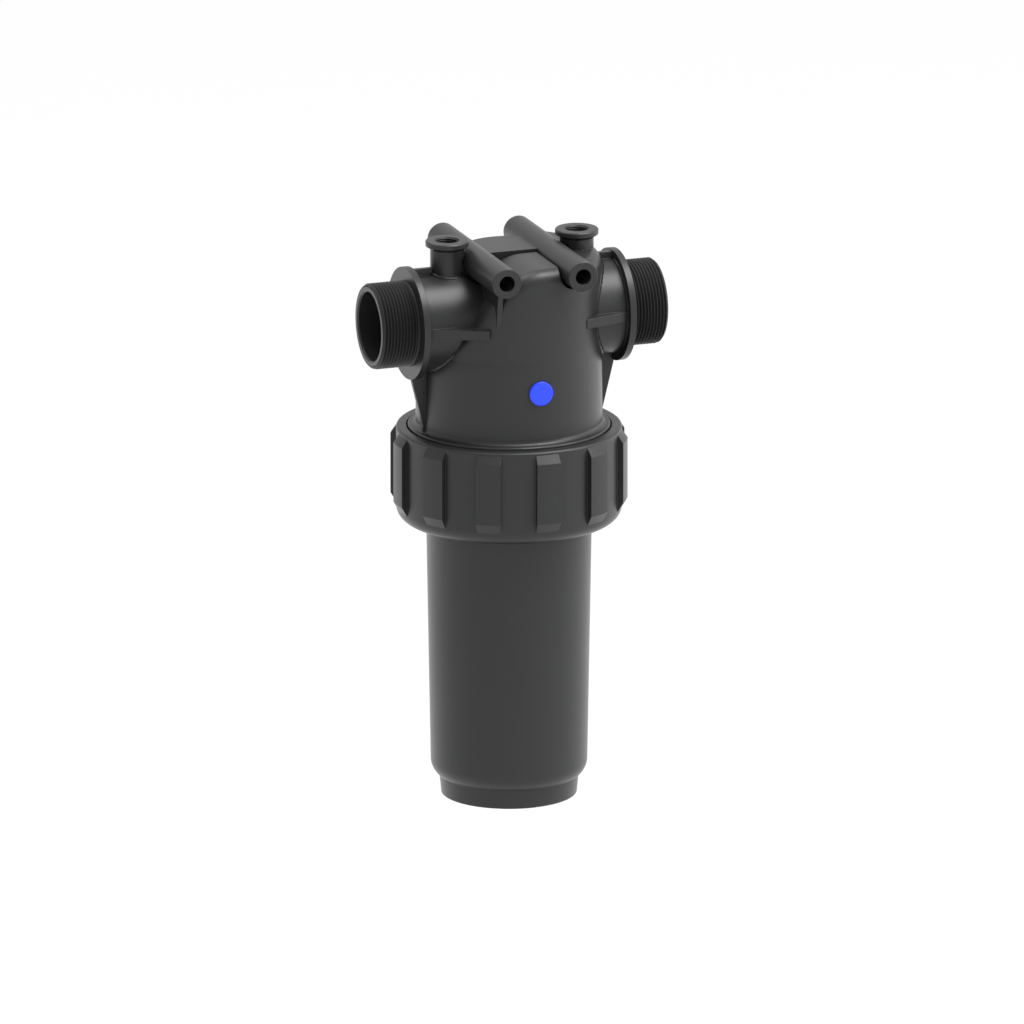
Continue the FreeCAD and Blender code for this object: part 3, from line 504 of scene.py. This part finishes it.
def wire_weave():
    """Plain weave round the Z axis: wires up and across, one over the other by turns.

    Puts out a height and a wire mask.
    """
    tree, start, end = group("wire_weave", [("Vector", "NodeSocketVector", None),
                                            ("Radius", "NodeSocketFloat", 0.039),
                                            ("Pitch", "NodeSocketFloat", 0.0008)],
                             [("Height", "NodeSocketFloat"), ("Wire", "NodeSocketFloat")])
    split = tree.nodes.new("ShaderNodeSeparateXYZ")
    tree.links.new(start.outputs["Vector"], split.inputs[0])
    angle = math_node(tree, "ARCTAN2", split.outputs["Y"], split.outputs["X"])
    arc = math_node(tree, "MULTIPLY", angle, start.outputs["Radius"])
    waves = []
    for place in (arc, split.outputs["Z"]):
        turn = math_node(tree, "MULTIPLY", math_node(tree, "DIVIDE", place, start.outputs["Pitch"]),
                         2 * math.pi)
        half_turn = math_node(tree, "MULTIPLY", turn, 0.5)
        waves.append((math_node(tree, "COSINE", turn), math_node(tree, "COSINE", half_turn)))
    over = math_node(tree, "MULTIPLY", waves[0][1], waves[1][1])
    upright = math_node(tree, "ADD", waves[0][0], math_node(tree, "MULTIPLY", over, 0.5))
    across = math_node(tree, "SUBTRACT", waves[1][0], math_node(tree, "MULTIPLY", over, 0.5))
    top = math_node(tree, "MAXIMUM", upright, across)
    height = math_node(tree, "ADD", math_node(tree, "MULTIPLY", top, 0.33), 0.5, clamp=True)
    tree.links.new(height, end.inputs["Height"])
    mask = math_node(tree, "GREATER_THAN", top, -0.1)
    tree.links.new(mask, end.inputs["Wire"])
    return tree


# Materials

def plastic(name, dark, light, rough, drift, grain, bump, edge, level):
    """Moulded plastic: tone and gloss that drift between two values, fine grain, eased edges.

    Drift and grain are the scales of their noises, and edge is the radius that eases an edge.
    """
    material = bpy.data.materials.new(name)
    material.use_nodes = True
    tree = material.node_tree
    shader = tree.nodes["Principled BSDF"]
    place = tree.nodes.new("ShaderNodeTexCoord").outputs["Object"]
    tone = tree.nodes.new("ShaderNodeGroup")
    tone.node_tree = GROUPS["tone_drift"]
    tone.inputs["Dark"].default_value = (*dark, 1)
    tone.inputs["Light"].default_value = (*light, 1)
    tone.inputs["Scale"].default_value = drift
    tone.inputs["Roughness Low"].default_value = rough[0]
    tone.inputs["Roughness High"].default_value = rough[1]
    tree.links.new(place, tone.inputs["Vector"])
    tree.links.new(tone.outputs["Color"], shader.inputs["Base Color"])
    tree.links.new(tone.outputs["Roughness"], shader.inputs["Roughness"])
    texture = tree.nodes.new("ShaderNodeGroup")
    texture.node_tree = GROUPS["moulded_grain"]
    texture.inputs["Scale"].default_value = grain
    tree.links.new(place, texture.inputs["Vector"])
    bumps = tree.nodes.new("ShaderNodeBump")
    bumps.inputs["Strength"].default_value = bump
    bumps.inputs["Distance"].default_value = 0.02 * MM
    tree.links.new(texture.outputs["Height"], bumps.inputs["Height"])
    if edge:
        eased = tree.nodes.new("ShaderNodeBevel")
        eased.samples = 6
        eased.inputs["Radius"].default_value = edge
        tree.links.new(eased.outputs["Normal"], bumps.inputs["Normal"])
    tree.links.new(bumps.outputs["Normal"], shader.inputs["Normal"])
    shader.inputs["Specular IOR Level"].default_value = level
    return material


def steel_mesh():
    """Woven stainless wire: bright wires, with the openings between them painted dark as painted shade of
    the hollow inside the screen.
    """
    material = bpy.data.materials.new("mesh_steel")
    material.use_nodes = True
    tree = material.node_tree
    shader = tree.nodes["Principled BSDF"]
    place = tree.nodes.new("ShaderNodeTexCoord").outputs["Object"]
    weave = tree.nodes.new("ShaderNodeGroup")
    weave.node_tree = GROUPS["wire_weave"]
    tree.links.new(place, weave.inputs["Vector"])
    tone = tree.nodes.new("ShaderNodeGroup")
    tone.node_tree = GROUPS["tone_drift"]
    tone.inputs["Dark"].default_value = (0.42, 0.42, 0.41, 1)
    tone.inputs["Light"].default_value = (0.62, 0.62, 0.6, 1)
    tone.inputs["Roughness Low"].default_value = 0.3
    tone.inputs["Roughness High"].default_value = 0.42
    tree.links.new(place, tone.inputs["Vector"])
    mix = tree.nodes.new("ShaderNodeMix")
    mix.data_type = "RGBA"
    # Openings between the wires: near black, painted shade for the dark inside of the screen seen through
    # them.
    mix.inputs["A"].default_value = (0.015, 0.015, 0.016, 1)
    tree.links.new(weave.outputs["Wire"], mix.inputs["Factor"])
    tree.links.new(tone.outputs["Color"], mix.inputs["B"])
    tree.links.new(mix.outputs["Result"], shader.inputs["Base Color"])
    tree.links.new(tone.outputs["Roughness"], shader.inputs["Roughness"])
    tree.links.new(weave.outputs["Wire"], shader.inputs["Metallic"])
    bumps = tree.nodes.new("ShaderNodeBump")
    bumps.inputs["Strength"].default_value = 0.8
    bumps.inputs["Distance"].default_value = 0.1 * MM
    tree.links.new(weave.outputs["Height"], bumps.inputs["Height"])
    tree.links.new(bumps.outputs["Normal"], shader.inputs["Normal"])
    return material


def dress(thing, material):
    """Gives every face of an object one material, on the object's own slots."""
    if not thing.material_slots:
        thing.data.materials.append(material)
    for place in thing.material_slots:
        place.link = "OBJECT"
        place.material = material


def add_piece(piece, body, material="housing"):
    """Material, body and slot of a new piece of the housing."""
    dress(piece, MATERIALS[material])
    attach(piece, body)


# Build

GROUPS = {make.__name__: make() for make in (moulded_grain, tone_drift, wire_weave)}

MATERIALS = {
    "housing": plastic("housing_plastic", (0.0105, 0.0107, 0.011), (0.0148, 0.015, 0.0154), (0.36, 0.44),
                       drift=14, grain=2200, bump=0.35, edge=0.6 * MM, level=0.3),
    # The threads get a darker, less glossy copy of the housing plastic: painted shade for the shadow in
    # their grooves.
    "thread_painted_shade": plastic("thread_painted_shade_plastic", (0.0085, 0.0087, 0.009), (0.012, 0.0122, 0.0126),
                              (0.46, 0.54), drift=14, grain=2200, bump=0.35, edge=0, level=0.22),
    "blue_plastic": plastic("blue_plastic", (0.005, 0.034, 0.8), (0.009, 0.046, 0.92), (0.3, 0.38),
                            drift=30, grain=2200, bump=0.3, edge=0.3 * MM, level=0.4),
    "slip_plastic": plastic("slip_plastic", (0.68, 0.68, 0.65), (0.78, 0.78, 0.75), (0.4, 0.5),
                            drift=20, grain=2000, bump=0.3, edge=0, level=0.4),
    "seal_rubber": plastic("seal_rubber", (0.012, 0.012, 0.012), (0.022, 0.022, 0.022), (0.5, 0.65),
                           drift=30, grain=3000, bump=0.5, edge=0, level=0.35),
    "mesh_steel": steel_mesh(),
}
NODE_SLOTS = {piece["node"]: piece["material_slot"] for piece in frame["record"]["subparts"]}

for name, node in frame["nodes"].items():
    dress(node, MATERIALS[NODE_SLOTS[name]])

for node, walls, body in (("filter_head", head_walls, "head"), ("ring_nut", nut_walls, "nut")):
    copy = reshaped(node, node + "_threaded", walls)
    add_piece(copy, body)
    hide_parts(node)

skirt_thread = screw_thread("skirt_thread", SKIRT_ENDS, SKIRT_SCREW, SKIRT_CREST, 1,
                            SKIRT_CORE - SKIRT_SINK, SKIRT_EDGE)
nut_thread = screw_thread("nut_thread", NUT_ENDS, NUT_SCREW, NUT_CREST, -1, NUT_CORE + NUT_SINK, 0)
for piece, body in ((skirt_thread, "head"), (nut_thread, "nut")):
    smooth(piece, SHARP_ANGLE)
    add_piece(piece, body)

for word, side in (("left", -1), ("right", 1)):
    for make, title in ((outer_thread, "port_thread_"), (inner_thread, "gauge_thread_")):
        piece = make(title + word, side)
        smooth(piece, SHARP_ANGLE)
        # The port and gauge threads take the darker copy of the housing plastic, as painted shade in their
        # grooves.
        add_piece(piece, "head", "thread_painted_shade")
    for make in (neck_fillet, disc_fillet, boss_fillet):
        add_piece(make(make.__name__ + "_" + word, side), "head")


# Stage

# The filter hangs from its tubes, so the floor lies below the lowest place that the bowl travels to
FLOOR_HEIGHT = -0.14
FLOOR_HALF_WIDTH = 30.0

# Share of the floor that glows white for the camera, and its strength in reflections
FLOOR_GLOW = 0.93
FLOOR_REFLECTION = 1.655

# Strength of the white surroundings as light
SURROUNDINGS = 0.65


def background_share(tree):
    """1 for rays from the camera, from a reflection or through glass, else 0."""
    path = tree.nodes.new("ShaderNodeLightPath")
    seen = math_node(tree, "MAXIMUM", path.outputs["Is Camera Ray"], path.outputs["Is Glossy Ray"])
    return math_node(tree, "MAXIMUM", seen, path.outputs["Is Transmission Ray"])


def studio_world(light):
    """White surroundings to look at, and a softer level of them as light."""
    world = bpy.data.worlds.new("studio")
    bpy.context.scene.world = world
    world.use_nodes = True
    tree = world.node_tree
    background = tree.nodes["Background"]
    background.inputs["Color"].default_value = (1, 1, 1, 1)
    share = background_share(tree)
    strength = math_node(tree, "ADD", math_node(tree, "MULTIPLY", share, 1 - light), light)
    tree.links.new(strength, background.inputs["Strength"])


def studio_floor():
    """Pale floor that shows white and keeps a soft shadow; a camera under it looks through it."""
    corners = [(x * FLOOR_HALF_WIDTH, y * FLOOR_HALF_WIDTH, FLOOR_HEIGHT)
               for x, y in ((-1, -1), (1, -1), (1, 1), (-1, 1))]
    floor = new_object("studio_floor", corners, [(0, 1, 2, 3)])
    material = bpy.data.materials.new("studio_floor")
    material.use_nodes = True
    tree = material.node_tree
    shader = tree.nodes["Principled BSDF"]
    shader.inputs["Base Color"].default_value = (0.82, 0.82, 0.82, 1)
    shader.inputs["Roughness"].default_value = 0.9
    shader.inputs["Specular IOR Level"].default_value = 0.1
    glow = tree.nodes.new("ShaderNodeEmission")
    path = tree.nodes.new("ShaderNodeLightPath")
    mirrored = math_node(tree, "MULTIPLY", path.outputs["Is Glossy Ray"], FLOOR_REFLECTION - 1)
    tree.links.new(math_node(tree, "ADD", mirrored, 1.0), glow.inputs["Strength"])
    mix = tree.nodes.new("ShaderNodeMixShader")
    tree.links.new(math_node(tree, "MULTIPLY", background_share(tree), FLOOR_GLOW), mix.inputs[0])
    tree.links.new(shader.outputs[0], mix.inputs[1])
    tree.links.new(glow.outputs[0], mix.inputs[2])
    seen_from_below = tree.nodes.new("ShaderNodeNewGeometry").outputs["Backfacing"]
    one_sided = tree.nodes.new("ShaderNodeMixShader")
    tree.links.new(seen_from_below, one_sided.inputs[0])
    tree.links.new(mix.outputs[0], one_sided.inputs[1])
    clear = tree.nodes.new("ShaderNodeBsdfTransparent")
    tree.links.new(clear.outputs[0], one_sided.inputs[2])
    tree.links.new(one_sided.outputs[0], tree.nodes["Material Output"].inputs["Surface"])
    floor.data.materials.append(material)


def softbox(name, place, target, size, power):
    """Square area lamp that points at a target."""
    lamp = bpy.data.lights.new(name, "AREA")
    lamp.shape = "SQUARE"
    lamp.size = size
    lamp.energy = power
    thing = bpy.data.objects.new(name, lamp)
    thing.location = place
    thing.rotation_euler = (Vector(place) - Vector(target)).to_track_quat("Z", "Y").to_euler()
    bpy.context.scene.collection.objects.link(thing)


def camera():
    """Camera at the photograph's angle, aimed a little beside the bowl's axis."""
    back = Vector((math.sin(VIEW_AZIMUTH) * math.cos(VIEW_ELEVATION),
                   -math.cos(VIEW_AZIMUTH) * math.cos(VIEW_ELEVATION), math.sin(VIEW_ELEVATION)))
    right = Vector((math.cos(VIEW_AZIMUTH), math.sin(VIEW_AZIMUTH), 0))
    up = back.cross(right)
    aim = Vector((0, 0, AIM_HEIGHT)) + right * AIM_RIGHT - up * AIM_DOWN
    lens = bpy.data.cameras.new("camera")
    lens.lens = CAMERA_LENS
    lens.sensor_width = SENSOR_WIDTH
    lens.clip_start = 0.1
    lens.clip_end = 200.0
    thing = bpy.data.objects.new("camera", lens)
    thing.location = aim + back * CAMERA_DISTANCE
    thing.rotation_euler = back.to_track_quat("Z", "Y").to_euler()
    bpy.context.scene.collection.objects.link(thing)
    bpy.context.scene.camera = thing


studio_world(SURROUNDINGS)
studio_floor()
softbox("key_light", (2.2, -1.4, 1.5), (0, 0, 0.22), 1.2, 40)
softbox("top_light", (-0.6, 0.8, 2.6), (0, 0, 0.25), 1.6, 30)
softbox("front_top_light", (0.65, -0.54, 2.15), (0, 0, 0.34), 1.2, 65)
softbox("side_light", (2.6, 0.1, 0.5), (0, 0, 0.22), 2.6, 19)
camera()
bpy.context.scene.view_settings.view_transform = "Standard"
